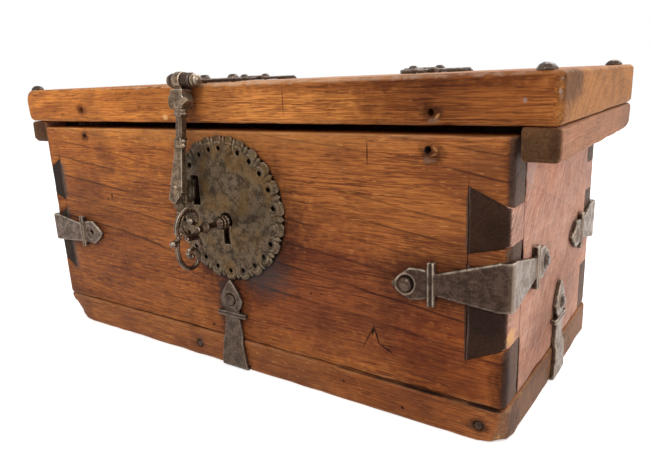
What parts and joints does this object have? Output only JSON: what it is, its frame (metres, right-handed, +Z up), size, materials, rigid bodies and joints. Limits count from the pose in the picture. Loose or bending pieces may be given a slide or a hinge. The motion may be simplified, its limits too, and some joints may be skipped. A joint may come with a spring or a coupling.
{
  "type": "wooden strongbox with iron mounts",
  "caption": "Small dovetailed wooden strongbox with wrought iron straps, strap hinges, a hinged hasp and a round pierced lock plate with its key.",
  "frame": {"origin": "centre of the base board's underside, on the surface that the box stands on", "axes": "+X to the box's right as seen from the front, +Y from the front to the back, +Z up"},
  "size_m": [0.4866, 0.2788, 0.2293],
  "materials": {
    "lid_wood": "old waxed softwood, warm orange brown, fine grain, pale worn edges",
    "body_wood": "old waxed softwood, reddish brown, dark stains near the iron",
    "side_wood": "old wood, pinkish brown, dry",
    "iron": "wrought iron, dark grey brown, mottled, bright on worn edges",
    "key_iron": "handled iron, half polished, brown in the hollows"
  },
  "bodies": {
    "chest": {"front_board": "body_wood", "back_board": "body_wood", "right_side_board": "side_wood", "left_side_board": "side_wood", "base_board": "body_wood", "lock_plate": "iron", "lock_plate_nail_top": "iron", "lock_plate_nail_right": "iron", "lock_plate_nail_left": "iron", "bolt_keeper_upper": "iron", "bolt_keeper_lower": "iron", "bolt_spring": "key_iron", "lock_bridge": "iron", "key_pin": "key_iron", "hinge_leaf_right": "iron", "hinge_leaf_left": "iron", "hinge_leaf_right_nail": "iron", "hinge_leaf_left_nail": "iron", "hinge_pin_right": "iron", "hinge_pin_left": "iron", "corner_strap_front_right": "iron", "corner_strap_front_left": "iron", "corner_strap_back_right": "iron", "corner_strap_back_left": "iron", "corner_nail_front_right_front": "iron", "corner_nail_front_right_side": "iron", "corner_nail_front_left_side": "iron", "corner_nail_back_right_back": "iron", "corner_nail_back_left_back": "iron", "corner_nail_back_left_side": "iron", "bottom_strap_front": "iron", "bottom_strap_right": "iron", "bottom_strap_left": "iron", "bottom_nail_front": "iron", "bottom_nail_right": "iron", "bottom_nail_left": "iron", "base_nail_left": "iron", "base_nail_right": "iron"},
    "lid": {"lid_board": "lid_wood", "right_lid_batten": "lid_wood", "left_lid_batten": "lid_wood", "batten_nail_right_front": "iron", "batten_nail_right_back": "iron", "batten_nail_left_front": "iron", "batten_nail_left_back": "iron", "hinge_strap_right": "iron", "hinge_strap_left": "iron", "hinge_strap_right_nail_front": "iron", "hinge_strap_right_nail_back": "iron", "hinge_strap_left_nail_front": "iron", "hinge_strap_left_nail_back": "iron", "hasp_plate": "iron", "hasp_plate_nail_front": "iron", "hasp_plate_nail_back": "iron", "hasp_pin": "iron"},
    "hasp": {"hasp_arm": "iron", "hasp_staple": "iron"},
    "key": {"key": "key_iron"},
    "bolt": {"lock_bolt": "key_iron"}
  },
  "joints": [
    {"name": "lid_hinge", "type": "hinge", "parent": "chest", "child": "lid", "pos_m": [0, 0.1139, 0.2186], "axis": [-1, 0, 0], "range_deg": [0, 100]},
    {"name": "hasp_swing", "type": "hinge", "parent": "lid", "child": "hasp", "pos_m": [-0.022, -0.109, 0.223], "axis": [-1, 0, 0], "range_deg": [-7.5, 212]},
    {"name": "key_turn", "type": "hinge", "parent": "chest", "child": "key", "pos_m": [0.007, -0.103, 0.1201], "axis": [0, 1, 0], "range_deg": [0, 90]},
    {"name": "bolt_slide", "type": "slide", "parent": "chest", "child": "bolt", "axis": [-1, 0, 0], "range_m": [0, 0.009]}
  ],
  "couplings": [
    {"joint": "bolt_slide", "follows": "key_turn", "m_per_rad": 0.005729}
  ]
}
